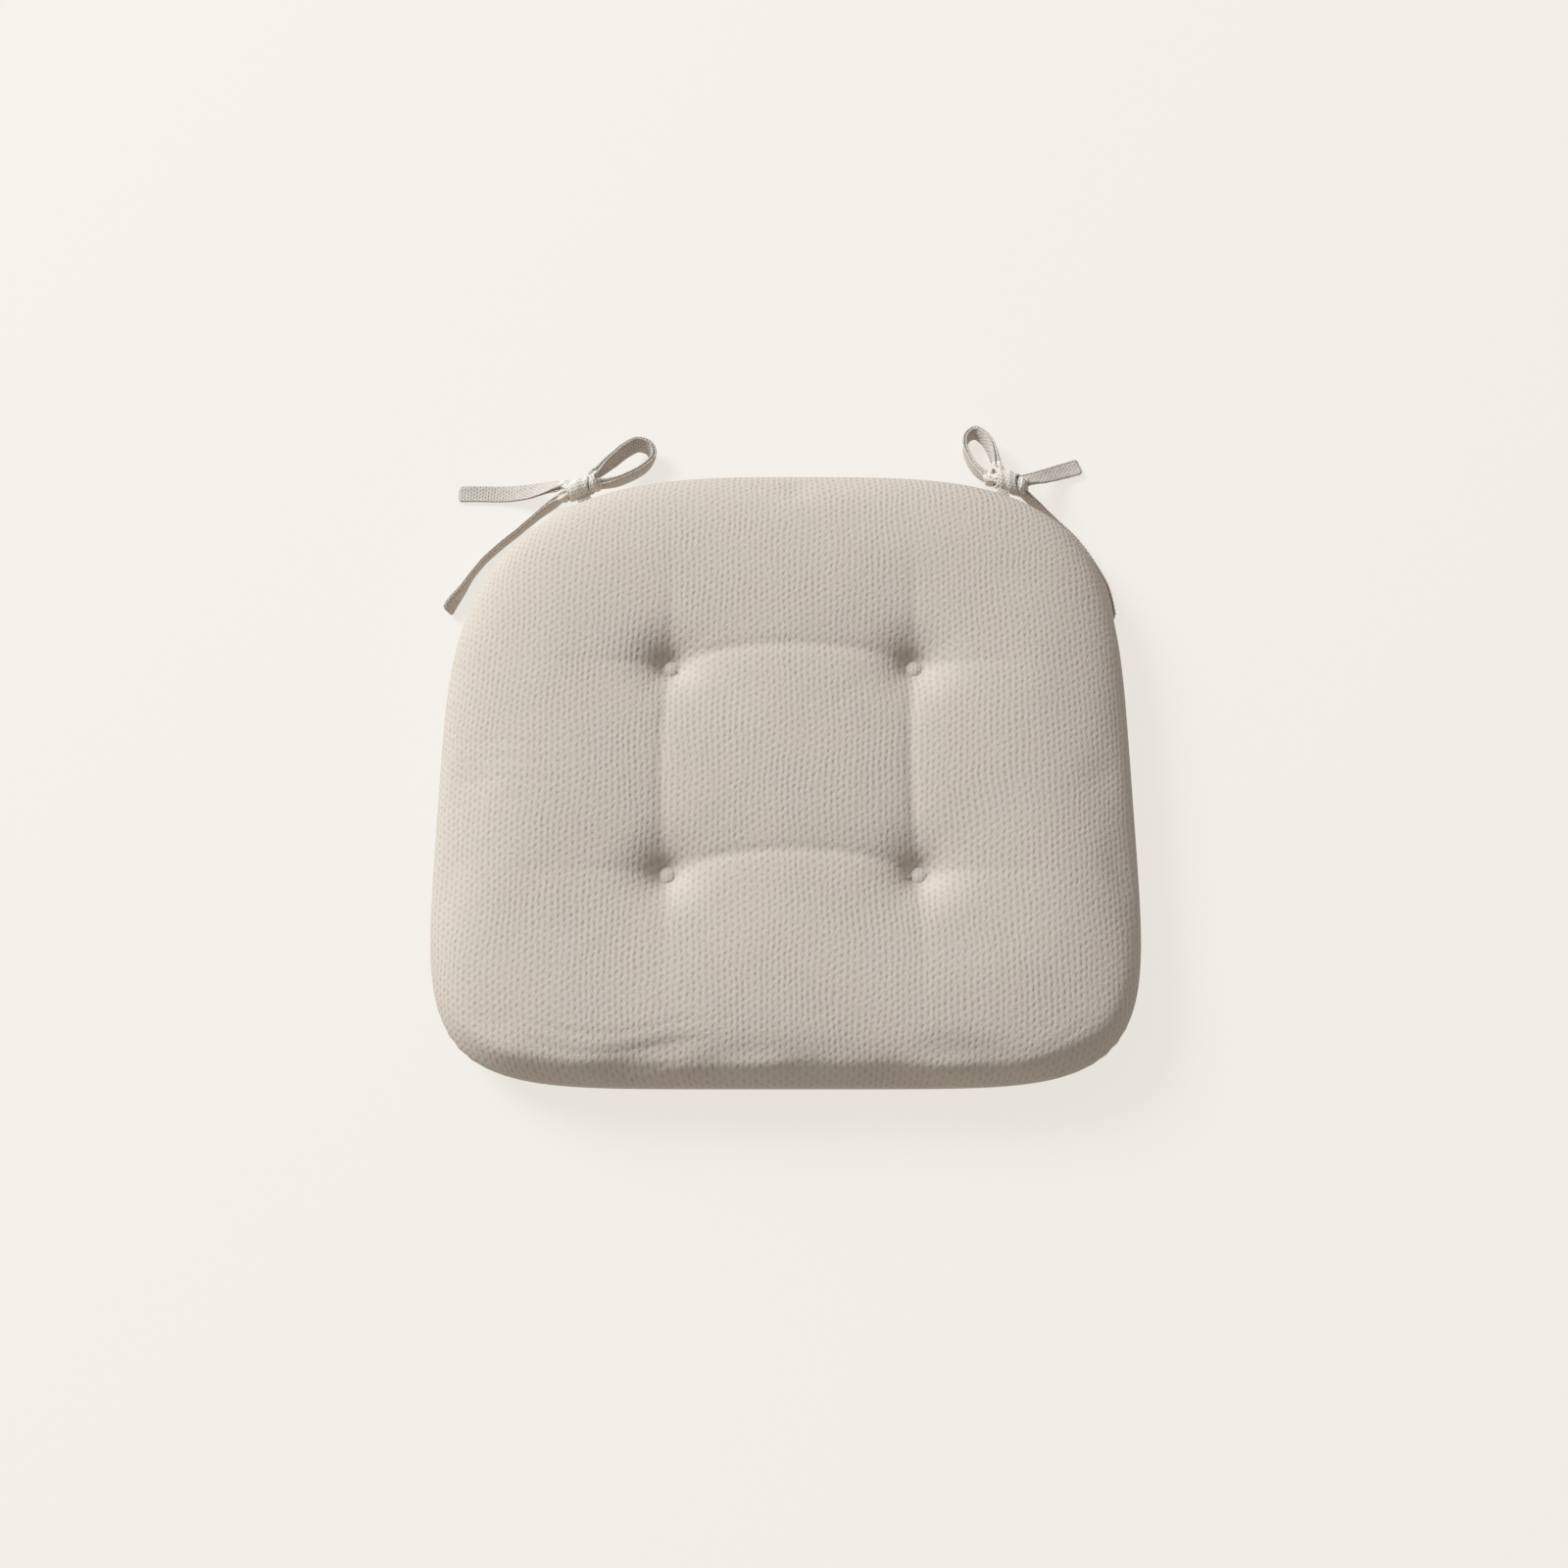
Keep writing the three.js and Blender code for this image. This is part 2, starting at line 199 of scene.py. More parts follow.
# %% Tie routes
TIE_WIDTH = 10.4 * MM
ROUTES = {
    "left_loop": [
        (-121.5, 197.5, 19.5, 80), (-111, 209.5, 16, 70), (-102.5, 219.5, 12, 64), (-95, 225, 8.8, 62),
        (-88, 223.5, 7.2, 66), (-85, 217, 6.6, 76), (-89, 209.5, 7.4, 86), (-97.5, 201.5, 10.8, 88),
        (-108, 194.5, 15, 88), (-119, 190.5, 19, 90),
    ],
    "left_flat_tail": [
        (-141.5, 189.5, 19.5, 40), (-150.5, 190.5, 15, 24), (-160, 191.5, 9, 10), (-171, 192, 4.4, 3),
        (-182.5, 192.5, 1.8, 0), (-196.5, 193, 1.2, 0), (-210.5, 193, 1.2, 0),
    ],
    "left_edge_tail": [
        (-141, 181.5, 20, 90), (-146.5, 179.5, 15.5, 90), (-153.5, 176.5, 9.8, 88), (-163, 170, 6.4, 85),
        (-173, 161, 5.6, 84), (-182.5, 152, 5.6, 84), (-191.5, 142.5, 5.6, 84), (-198.5, 132.5, 5.6, 86),
        (-203.5, 123.5, 5.6, 96), (-208, 116.5, 5.6, 108), (-212, 109, 5.4, 114),
    ],
    "right_loop": [
        (134, 203, 19.5, 94), (133, 212, 16, 100), (131, 221.5, 12.4, 104), (127.5, 229.5, 9.2, 106),
        (122.5, 233.5, 7.4, 106), (118, 231, 6.8, 100), (116.5, 224, 7, 94), (118.5, 214.5, 9, 90),
        (122.5, 204.5, 13, 90), (129, 195, 18.4, 90),
    ],
    "right_flat_tail": [
        (151, 192.5, 19.5, -32), (158, 196.5, 15.4, -20), (165, 200.5, 10.4, -10), (172.5, 205, 5.6, -5),
        (181, 209, 2.8, -2), (190.5, 212.5, 1.8, 0),
    ],
    "right_edge_tail": [
        (149.5, 185.5, 20, 90), (156, 181.5, 15.6, 90), (165, 175.5, 10, 90), (174.5, 167.5, 6.6, 90),
        (184, 158, 5.6, 90), (191, 147.5, 5.6, 90), (197, 136.5, 5.6, 90), (202, 125.5, 5.6, 90),
        (204.5, 114.5, 5.6, 90), (206, 104.5, 5.6, 90),
    ],
}


def blend(at, start, end, first, second):
    return (end - at) / (end - start) * first + (at - start) / (end - start) * second


def smooth_route(stops, step=0.8 * MM):
    """Evenly spaced points along a centripetal Catmull-Rom curve through the stops, and its length."""
    stops = np.array(stops, float)
    stops[:, :3] *= MM
    ends = [2 * stops[0] - stops[1], *stops, 2 * stops[-1] - stops[-2]]
    fine = []
    for p0, p1, p2, p3 in zip(ends, ends[1:], ends[2:], ends[3:]):
        knots = [0.0]
        for a, b in ((p0, p1), (p1, p2), (p2, p3)):
            knots.append(knots[-1] + np.linalg.norm(b[:3] - a[:3]) ** 0.5)
        t0, t1, t2, t3 = knots
        t = np.linspace(t1, t2, 40, endpoint=False)[:, None]
        a1, a2, a3 = blend(t, t0, t1, p0, p1), blend(t, t1, t2, p1, p2), blend(t, t2, t3, p2, p3)
        b1, b2 = blend(t, t0, t2, a1, a2), blend(t, t1, t3, a2, a3)
        fine.append(blend(t, t1, t2, b1, b2))
    fine = np.vstack([*fine, stops[-1:]])
    gone = np.concatenate([[0], np.cumsum(np.linalg.norm(np.diff(fine[:, :3], axis=0), axis=1))])
    count = max(2, round(gone[-1] / step) + 1)
    even = np.linspace(0, gone[-1], count)
    return np.column_stack([np.interp(even, gone, fine[:, k]) for k in range(4)]), gone[-1]


def strip_frames(route):
    """For each point of a route: its place, the way that the strip's width runs, and its face's way."""
    places = route[:, :3]
    forward = np.gradient(places, axis=0)
    forward /= np.linalg.norm(forward, axis=1)[:, None]
    level = np.column_stack([-forward[:, 1], forward[:, 0], 0 * forward[:, 0]])
    level /= np.linalg.norm(level, axis=1)[:, None]
    upright = np.cross(forward, level)
    lean = np.radians(route[:, 3])[:, None]
    across = level * np.cos(lean) + upright * np.sin(lean)
    return places, across, np.cross(forward, across)


# %% [markdown]
# ## The woven cloth
# The cover is a soft, slubby weave: low bumps and small dark pits in columns, each column shifted by half a
# step from the next. One cosine makes the columns, and a second one makes the pits along them, turned over
# from each column to the next. Modelled threads would take millions of faces, so one shader group draws the
# weave from flat coordinates, in metres, and it follows the cloth over an edge. Slow noise bends the
# columns, and faint ribs or rows show in places, as they do where cloth is pulled one way.

# %% The weave group


def weave_group():
    tree = bpy.data.node_groups.new("weave", "ShaderNodeTree")
    face = tree.interface
    face.new_socket("Flat", in_out="INPUT", socket_type="NodeSocketVector")
    for name in ("Column", "Row", "Wander", "Bend"):
        face.new_socket(name, in_out="INPUT", socket_type="NodeSocketFloat")
    for name in ("Height", "Shade", "Patch"):
        face.new_socket(name, in_out="OUTPUT", socket_type="NodeSocketFloat")
    given = tree.nodes.new("NodeGroupInput").outputs
    result = tree.nodes.new("NodeGroupOutput")

    def times(first, second):
        return calc(tree, "MULTIPLY", first, second)

    def noise_of(scale, detail=2.0, output="Fac"):
        return put(tree, "ShaderNodeTexNoise", (given["Flat"], None, scale, detail)).outputs[output]

    def shifted(place, noise_colour, amount):
        off = put(tree, "ShaderNodeVectorMath", (noise_colour, (0.5, 0.5, 0.5)), operation="SUBTRACT")
        scaled = put(tree, "ShaderNodeVectorMath", (off.outputs[0],), operation="SCALE")
        tree.links.new(amount, scaled.inputs["Scale"])
        return put(tree, "ShaderNodeVectorMath", (place, scaled.outputs[0]), operation="ADD").outputs[0]

    def wave(turns):
        return calc(tree, "COSINE", times(turns, math.pi))

    bent = shifted(given["Flat"], noise_of(14.0, 1.0, "Color"), given["Bend"])
    moved = shifted(bent, noise_of(110.0, 2.0, "Color"), given["Wander"])
    split = put(tree, "ShaderNodeSeparateXYZ", (moved,))
    columns = wave(calc(tree, "DIVIDE", split.outputs[0], given["Column"]))
    rows = wave(times(calc(tree, "DIVIDE", split.outputs[1], given["Row"]), 2.0))

    # The pits lie half a step apart in neighbouring columns, and some are deeper than others.
    valley = calc(tree, "ABSOLUTE", columns)
    lattice = times(calc(tree, "SIGN", columns), rows)
    pit = times(calc(tree, "POWER", valley, 3.5), calc(tree, "MULTIPLY_ADD", lattice, -0.65, 0.35))
    deep = times(pit, calc(tree, "MULTIPLY_ADD", noise_of(230.0, 1.0), 2.6, -0.4, clamp=True))

    # Broad patches of noise say where ribs and rows show. Slubs are the thick places in a thread.
    in_ribs = calc(tree, "MULTIPLY_ADD", noise_of(26.0), 3.2, -1.25, clamp=True)
    in_rows = calc(tree, "MULTIPLY_ADD", noise_of(19.0), -3.2, 1.35, clamp=True)
    rib = times(calc(tree, "POWER", valley, 2.0), calc(tree, "MULTIPLY_ADD", in_ribs, -0.38, -0.26))
    threads = calc(tree, "ADD", rib, times(times(rows, rows), times(in_rows, -0.4)))
    relief = calc(tree, "SUBTRACT", calc(tree, "MULTIPLY_ADD", noise_of(430.0), 1.7, threads), deep)
    height = calc(tree, "ADD", relief, 1.0)
    # Shade is the fibres' own tone plus painted shade: the colour darkens where the relief sinks, in the pits
    # and the grooves that run along the columns.
    fibre = calc(tree, "MULTIPLY_ADD", noise_of(1500.0), 0.3, 0.43)
    fine = calc(tree, "MULTIPLY_ADD", relief, 0.25, fibre, clamp=True)
    for name, value in (("Height", height), ("Shade", fine), ("Patch", noise_of(22.0))):
        tree.links.new(value, result.inputs[name])
    return tree


WEAVE = weave_group()

# %% [markdown]
# The cloth's colour is a warm oatmeal. Painted shade makes the pits and the grooves along the columns darker
# and browner than the floats, and broad patches lean very slightly to pink or to green, which is how undyed
# yarns from different batches look together.
# The buttons and the ties have a finer weave, and the knots wear a lighter copy of the tie cloth, which is
# painted light.

# %% Cloth materials


def cloth_material(name, light, dark, column, row, depth, wander=1.2 * MM, bend=6 * MM):
    """A woven cloth that reads flat coordinates in metres from the piece's UV map called flat."""
    material, tree, shader = new_material(name)
    flat = put(tree, "ShaderNodeUVMap", uv_map="flat").outputs[0]
    weave = put(tree, "ShaderNodeGroup", node_tree=WEAVE)
    for socket, value in zip(weave.inputs, (flat, column, row, wander, bend)):
        feed(tree, socket, value)
    pinker = tuple(c * f for c, f in zip(light, (1.03, 0.985, 0.985)))
    greener = tuple(c * f for c, f in zip(light, (0.98, 1.01, 0.99)))
    tint = mix_colour(tree, weave.outputs["Patch"], (*pinker, 1), (*greener, 1))
    # The dark colour is painted shade in the pits and grooves, mixed with the fibres' own tone.
    colour = mix_colour(tree, weave.outputs["Shade"], (*dark, 1), tint)
    feed(tree, shader.inputs["Base Color"], colour)
    add_bump(tree, shader, weave.outputs["Height"], depth)
    rough = calc(tree, "MULTIPLY_ADD", weave.outputs["Shade"], -0.08, 0.97)
    feed(tree, shader.inputs["Roughness"], rough)
    shader.inputs["Specular IOR Level"].default_value = 0.1
    return material


COVER_WEAVE = (3.5 * MM, 4.7 * MM, 0.22 * MM, 2.8 * MM, 9 * MM)
COVER_CLOTH = cloth_material("cover_cloth", (0.605, 0.515, 0.445), (0.36, 0.295, 0.245), *COVER_WEAVE)
BUTTON_CLOTH = cloth_material(
    "button_cloth", (0.60, 0.52, 0.455), (0.42, 0.36, 0.305), 2.6 * MM, 3.1 * MM, 0.16 * MM
)
TIE_WEAVE = (1.9 * MM, 2.4 * MM, 0.25 * MM, 0.9 * MM, 0)
TIE_CLOTH = cloth_material("tie_cloth", (0.66, 0.59, 0.52), (0.17, 0.14, 0.115), *TIE_WEAVE)
# The knots' copy of the tie cloth is lighter: painted light on the raised wraps.
PAINTED_LIGHT_KNOT_CLOTH = cloth_material("knot_cloth_painted_light", (0.80, 0.73, 0.65), (0.28, 0.245, 0.2), *TIE_WEAVE)

# %% [markdown]
# ## The pad
# Each cover starts as a square grid that is bent to the pad's outline, so that no point on it is a pole.
# A formula gives the stuffed form: a rolled edge, a nearly flat crown, a funnel at each tuft, and valleys
# along the lines that join the tufts. Blender's cloth then swells it under pressure with the seam and the
# tufts held, which rounds the pillows between them.

# %% The outline and the form
MIDDLE_WIDTH = 414 * MM
SIDE_TAPER = 0.011
SQUARENESS = {"back_left": 3, "back_right": 3.8, "front": 5.9}
EDGE_POWER = 8
FRONT_BEVEL = 0.05
FRONT_WAVES = ((0.1, 19 * MM), (0.07, 8 * MM))
FLAT_SHARE = 0.78
CROWDING = 0.5
# A soft valley's sharp reach, its broad reach, and the share of the sharp one.
CREASE_VALLEY = (2.6 * MM, 13 * MM, 0.6)
TUFT_FUNNEL = (4.5 * MM, 17 * MM, 0.65)
UNDER_FUNNEL = (8 * MM, 14 * MM, 0.45)
TUFT_DEPTH = 14.7 * MM
UNDER_DEPTH = 6.2 * MM
CREASE_FADE = 24 * MM


def outline_radius(angle):
    """The distance from the pad's middle to its outline, as in the design, for an array of directions."""
    c, s = np.cos(angle), np.sin(angle)
    back = np.where(c < 0, SQUARENESS["back_left"], SQUARENESS["back_right"])
    power = np.where(s > 0, back, SQUARENESS["front"])
    low, high = np.zeros_like(angle), np.full_like(angle, MIDDLE_WIDTH)
    for _ in range(36):
        radius = (low + high) / 2
        half_width = MIDDLE_WIDTH / 2 - SIDE_TAPER * radius * s
        inside = np.abs(radius * c / half_width) ** power + np.abs(radius * s / HALF_DEPTH) ** power < 1
        low, high = np.where(inside, radius, low), np.where(inside, high, radius)
    return low


def square_grid(cells):
    """(share of the way out, direction) for a square grid laid over the outline, denser at its edge."""
    side = np.linspace(-1, 1, cells + 1)
    a, b = np.meshgrid(side, side, indexing="ij")
    wide = np.abs(a) >= np.abs(b)
    safe_a, safe_b = np.where(a == 0, 1, a), np.where(b == 0, 1, b)
    turn = np.where(
        wide,
        np.pi / 4 * b / safe_a + np.where(a < 0, np.pi, 0),
        np.pi / 2 - np.pi / 4 * a / safe_b + np.where(b < 0, np.pi, 0),
    )
    share = np.maximum(np.abs(a), np.abs(b))
    return share + CROWDING * np.sin(np.pi * share) / np.pi, turn


TUFT_PLACES = {name: middle_of(f"button_cover_{name}") for name in TUFTS}
BUTTON_RADIUS = 5.5 * MM


def tuft_distance(x, y):
    return np.min([np.hypot(x - place[0], y - place[1]) for place in TUFT_PLACES.values()], axis=0)


def soft_valley(away, sharp, broad, share):
    """1 in a crease. A share of it is a narrow part with a sharp bottom, and the rest is broad."""
    return share * np.exp(-np.abs(away) / sharp) + (1 - share) * np.exp(-((away / broad) ** 2))


# Each crease joins two tufts: how far it bows sideways on its way, and how deep it is near a tuft.
CREASES = [
    ("back_left", "back_right", 11 * MM, 4.2 * MM),
    ("front_left", "front_right", 12 * MM, 4.2 * MM),
    ("back_left", "front_left", -4 * MM, 4.0 * MM),
    ("back_right", "front_right", -4 * MM, 5.2 * MM),
]


def crease_depth(x, y):
    """How deep the creases are that join the tufts and fade beyond them."""
    depth = np.zeros_like(x)
    for first, second, bow, deepest in CREASES:
        a, b = TUFT_PLACES[first][:2], TUFT_PLACES[second][:2]
        length = np.linalg.norm(b - a)
        run = (b - a) / length
        along = (x - a[0]) * run[0] + (y - a[1]) * run[1]
        away = (y - a[1]) * run[0] - (x - a[0]) * run[1]
        share = np.clip(along / length, 0, 1)
        beyond = np.maximum(np.maximum(-along, along - length), 0)
        strength = deepest * (1 - 0.4 * np.sin(np.pi * share)) * np.exp(-beyond / CREASE_FADE)
        curve = bow * np.sin(np.pi * share) ** 0.7
        depth = np.maximum(depth, strength * soft_valley(away - curve, *CREASE_VALLEY))
    return depth


def funnel_share(x, y, sharp, broad, share):
    """1 under a button, and less and less away from it."""
    away = np.maximum(tuft_distance(x, y) - BUTTON_RADIUS - 0.7 * MM, 0)
    return soft_valley(away, sharp, broad, share)


def crown_form(share, x, y):
    """The top cover's height. Its edge is rolled at the sides and the back, and a steep wall in front."""
    rolled = np.sqrt(np.clip(1 - share**EDGE_POWER, 0, 1))
    uneven = sum((size * np.sin(x / reach) for size, reach in FRONT_WAVES), 1)
    inward = (1 - share) / (FRONT_BEVEL * uneven)
    walled = inward / (1 + inward**5) ** 0.2
    front = np.clip(-y / HALF_DEPTH, 0, 1) ** 4
    rise = rolled + (walled - rolled) * front
    top = SEAM_Z + (CROWN_Z - SEAM_Z) * rise
    creases = crease_depth(x, y)
    return top - creases - (TUFT_DEPTH - creases) * funnel_share(x, y, *TUFT_FUNNEL) * rise


def underside_form(share, x, y):
    out = np.clip((share - FLAT_SHARE) / (1 - FLAT_SHARE), 0, 1)
    base = SEAM_Z * (1 - np.sqrt(1 - out**2))
    return np.maximum(base, UNDER_DEPTH * funnel_share(x, y, *UNDER_FUNNEL))


# %% The grid of both covers
COVER_CELLS = 110
UNDERSIDE_SHIFT = 0.7  # keeps the two covers apart in the flat coordinates


def cover_points(form, cells):
    share, turn = square_grid(cells)
    reach = share * outline_radius(turn)
    x, y = reach * np.cos(turn), reach * np.sin(turn)
    return np.dstack([x, y, form(share, x, y)]), share, turn


def flat_lengths(share, turn):
    """Flat coordinates of a cover: each point lies as far from the middle as the cloth runs to it."""
    span = 200 * MM
    rays = np.linspace(0, 1, 160)
    spine = np.column_stack([rays * span, SEAM_Z + (CROWN_Z - SEAM_Z) * np.sqrt(1 - rays**EDGE_POWER)])
    run = np.concatenate([[0], np.cumsum(np.linalg.norm(np.diff(spine, axis=0), axis=1))])
    reach = outline_radius(turn) * share + np.interp(share, rays, run) - span * share
    return np.dstack([reach * np.cos(turn), reach * np.sin(turn)])


def grid_faces(numbers, up):
    a, b = numbers[:-1, :-1].ravel(), numbers[1:, :-1].ravel()
    c, d = numbers[1:, 1:].ravel(), numbers[:-1, 1:].ravel()
    return np.column_stack([a, b, c, d] if up else [d, c, b, a])


def pad_mesh(cells):
    """One closed mesh of both covers, which share the points of the seam, with a flat UV map."""
    top, share, turn = cover_points(crown_form, cells)
    bottom, _, _ = cover_points(underside_form, cells)
    count = (cells + 1) ** 2
    top_numbers = np.arange(count).reshape(cells + 1, cells + 1)
    rim = share > 1 - 1e-9
    bottom_numbers = np.where(rim, top_numbers, 0)
    bottom_numbers[~rim] = count + np.arange((~rim).sum())
    points = np.vstack([top.reshape(-1, 3), bottom[~rim]])
    faces = np.vstack([grid_faces(top_numbers, True), grid_faces(bottom_numbers, False)])
    flat_of_top = flat_lengths(share, turn).reshape(-1, 2)
    flat_of_bottom = np.zeros((len(points), 2))
    flat_of_bottom[bottom_numbers.ravel()] = flat_of_top
    mesh = bpy.data.meshes.new("pad_cover")
    mesh.from_pydata(points.tolist(), [], faces.tolist())
    layer = mesh.uv_layers.new(name="flat")
    half = len(faces) // 2
    under = flat_of_bottom[faces[half:].ravel()] + [UNDERSIDE_SHIFT, 0]
    spread = np.vstack([flat_of_top[faces[:half].ravel()], under])
    layer.data.foreach_set("uv", spread.astype(np.float32).ravel())
    mesh.update()
    return mesh, rim.ravel()


def dress_smooth(mesh, material):
    mesh.materials.append(material)
    mesh.polygons.foreach_set("use_smooth", [True] * len(mesh.polygons))


def link(mesh, name, material):
    piece = bpy.data.objects.new(name, mesh)
    dress_smooth(mesh, material)
    bpy.context.collection.objects.link(piece)
    return piece


pad_data, rim_points = pad_mesh(COVER_CELLS)
pad = link(pad_data, "pad_cover", COVER_CLOTH)
print("pad grid", len(pad_data.vertices), "points")

# %% [markdown]
# ## Swelling the covers
# Stuffing pushes a cover out wherever thread doesn't hold it. The seam and the cloth under the buttons are
# pinned, the creases are held softly, and pressure from inside does the rest for a few frames. The
# simulation runs on a coarse grid. Its movement is limited, smoothed, faded out at the tufts and given to
# a grid twice as fine, so that the pad keeps its height and still lies flat on the surface under it.

# %% Swell the covers
SWELL_FRAMES = 20
MOST_SWELL = 4.5 * MM
HELD_RADIUS = 7.5 * MM
CREASE_HOLD = 0.3
CLEAR_OF_TUFT = 9 * MM
LEAST_RISE = 0.35


def read_vectors(items, field):
    values = np.empty(3 * len(items), np.float32)
    items.foreach_get(field, values)
    return values.reshape(-1, 3).astype(float)


def vertex_places(mesh):
    return read_vectors(mesh.vertices, "co")


def move_vertices(mesh, places):
    mesh.vertices.foreach_set("co", places.astype(np.float32).ravel())
    mesh.update()


def hold(piece, rim):
    """The name of a new vertex group that says how firmly each point is held."""
    places = vertex_places(piece.data)
    x, y, z = places.T
    creases = crease_depth(x, y)
    firm = np.where(z > SEAM_Z, CREASE_HOLD * creases / creases.max(), 0)
    firm[tuft_distance(x, y) < HELD_RADIUS] = 1
    firm[: len(rim)][rim] = 1
    firm = np.round(firm, 1)
    group = piece.vertex_groups.new(name="held")
    for level in np.unique(firm):
        group.add(np.flatnonzero(firm == level).tolist(), float(level), "REPLACE")
    return group.name


def smoothed(grid, passes=6):
    """A grid of movements, each averaged with its neighbours, so that only broad forms stay."""
    grid = grid.copy()
    for _ in range(passes):
        inner = grid[:-2, 1:-1] + grid[2:, 1:-1] + grid[1:-1, :-2] + grid[1:-1, 2:]
        grid[1:-1, 1:-1] = (inner + 2 * grid[1:-1, 1:-1]) / 6
    return grid


def twice_as_fine(grid):
    """A grid with a value added half way between each two."""
    for _ in range(2):
        longer = np.empty((2 * grid.shape[0] - 1, *grid.shape[1:]))
        longer[::2] = grid
        longer[1::2] = (grid[1:] + grid[:-1]) / 2
        grid = longer.transpose(1, 0, 2)
    return grid


def split_covers(values, rim):
    """Values of the pad mesh as one grid for each cover. Both have the seam's values."""
    side = round(len(rim) ** 0.5)
    top = values[: len(rim)].reshape(side, side, 3)
    bottom = top.copy()
    bottom[~rim.reshape(side, side)] = values[len(rim) :]
    return top, bottom


def join_covers(top, bottom, rim):
    return np.vstack([top.reshape(-1, 3), bottom.reshape(-1, 3)[~rim]])


def swell(piece, rim):
    modifier = piece.modifiers.new("swell", "CLOTH")
    settings = modifier.settings
    settings.quality = 5
    settings.mass = 0.25
    settings.tension_stiffness = 14
    settings.compression_stiffness = 14
    settings.shear_stiffness = 6
    settings.bending_stiffness = 4
    settings.use_pressure = True
    settings.uniform_pressure_force = 3
    settings.vertex_group_mass = hold(piece, rim)
    settings.effector_weights.gravity = 0
    modifier.point_cache.frame_end = SWELL_FRAMES
    scene = bpy.context.scene
    for number in range(1, SWELL_FRAMES + 1):
        scene.frame_set(number)
    swollen = piece.evaluated_get(bpy.context.evaluated_depsgraph_get())
    step = vertex_places(swollen.data) - vertex_places(piece.data)
    piece.modifiers.clear()
    scene.frame_set(1)
    size = np.linalg.norm(step, axis=1)[:, None]
    step *= MOST_SWELL * np.tanh(size / MOST_SWELL) / np.maximum(size, 1e-9)
    print("swollen by up to", round(1000 * float(np.linalg.norm(step, axis=1).max()), 1), "mm")
    return step


def refine(piece, rim, step):
    """Gives the pad a grid twice as fine, and the movement of the coarse one."""
    fine_mesh, fine_rim = pad_mesh(2 * COVER_CELLS)
    fine_step = join_covers(*(twice_as_fine(smoothed(g)) for g in split_covers(step, rim)), fine_rim)
    before = vertex_places(fine_mesh)
    from_button = tuft_distance(before[:, 0], before[:, 1]) - BUTTON_RADIUS
    places = before + fine_step * np.clip(from_button / CLEAR_OF_TUFT, 0, 1)[:, None]
    places[:, 2] = np.maximum(places[:, 2], np.minimum(before[:, 2], SEAM_Z) * LEAST_RISE)
    move_vertices(fine_mesh, places)
    dress_smooth(fine_mesh, COVER_CLOTH)
    piece.vertex_groups.clear()
    piece.data = fine_mesh


step = swell(pad, rim_points)
refine(pad, rim_points, step)
print("pad", len(pad.data.polygons), "faces")

# %% [markdown]
# ## Fine folds and the seam
# Small folds are pressed in along short strokes where the real cloth puckers: near the front edge, where
# the cover was pulled over its corners, and at the left side. A simulation fine enough for them would take
# minutes, and strokes put each fold where it belongs. The turned seam draws the cloth in a little all
# round, with puckers along its stitches.

# %% Fine folds and the seam
PUCKERS = 160
SEAM_WIDTH = 2.2 * MM
# Each fold: its stops, X and Y in millimetres, its depth and its width.
FOLDS = [
    ([(-150, -166), (-122, -175), (-92, -175), (-62, -170), (-34, -168)], 0.6, 2.4),
    ([(-156, -155), (-126, -163), (-94, -165), (-62, -159), (-30, -157)], 0.45, 2.4),
    ([(-116, -184), (-86, -185), (-60, -181), (-34, -180)], 0.6, 2.0),
    ([(-30, -184), (10, -187), (48, -185), (84, -187)], 0.5, 2.4),
    ([(-201, 8), (-176, 9), (-148, 6), (-120, 7)], 0.3, 2.2),
    ([(-201, -4), (-172, -2), (-142, -5), (-112, -4)], 0.3, 2.2),
    ([(-201, -17), (-172, -14), (-144, -17), (-118, -16)], 0.3, 2.2),
    ([(-201, -31), (-168, -28), (-138, -31)], 0.3, 2.2),
    ([(120, -178), (148, -172), (172, -156)], 0.4, 2.6),
]


def fold_section(away, width):
    """A fold's depth across its line: a groove between two low banks."""
    return np.exp(-((away / width) ** 2)) - 0.3 * np.exp(-((away / (2 * width)) ** 2))


def press_folds(piece):
    mesh = piece.data
    places, normals = vertex_places(mesh), read_vectors(mesh.vertex_normals, "vector")
    upper = places[:, 2] > SEAM_Z
    depth = np.zeros(len(places))
    for stops, deep, width in FOLDS:
        line, length = smooth_route([(x, y, 0, 0) for x, y in stops], 3 * MM)
        away = np.full(len(places), 1.0)
        share = np.zeros(len(places))
        for k, (x, y) in enumerate(line[:, :2]):
            here = np.hypot(places[:, 0] - x, places[:, 1] - y)
            share = np.where(here < away, k / (len(line) - 1), share)
            away = np.minimum(away, here)
        fade = np.sin(np.pi * np.clip(share, 0.03, 0.97)) ** 0.7
        depth += deep * MM * fade * fold_section(away, width * MM)
    turn = np.arctan2(places[:, 1], places[:, 0])
    seam = np.exp(-(((places[:, 2] - SEAM_Z) / SEAM_WIDTH) ** 2))
    outer = np.hypot(places[:, 0], places[:, 1]) > 0.9 * outline_radius(turn)
    pucker = 0.9 + 0.25 * np.sin(turn * PUCKERS)
    depth = np.where(upper, depth, 0) + np.where(outer, seam * pucker * MM, 0)
    move_vertices(mesh, places - normals * depth[:, None])


press_folds(pad)

# %% [markdown]
# ## One builder for strips, knots and buttons
# Most small pieces are a stack of rings: a strip is its section carried along a route, a button is circles
# of changing size, and a wrapped band is a section carried round in a circle. This builder joins the rings,
# closes the ends and lays flat coordinates along and around the piece, so that the weave follows it.

# %% Build a piece from rings


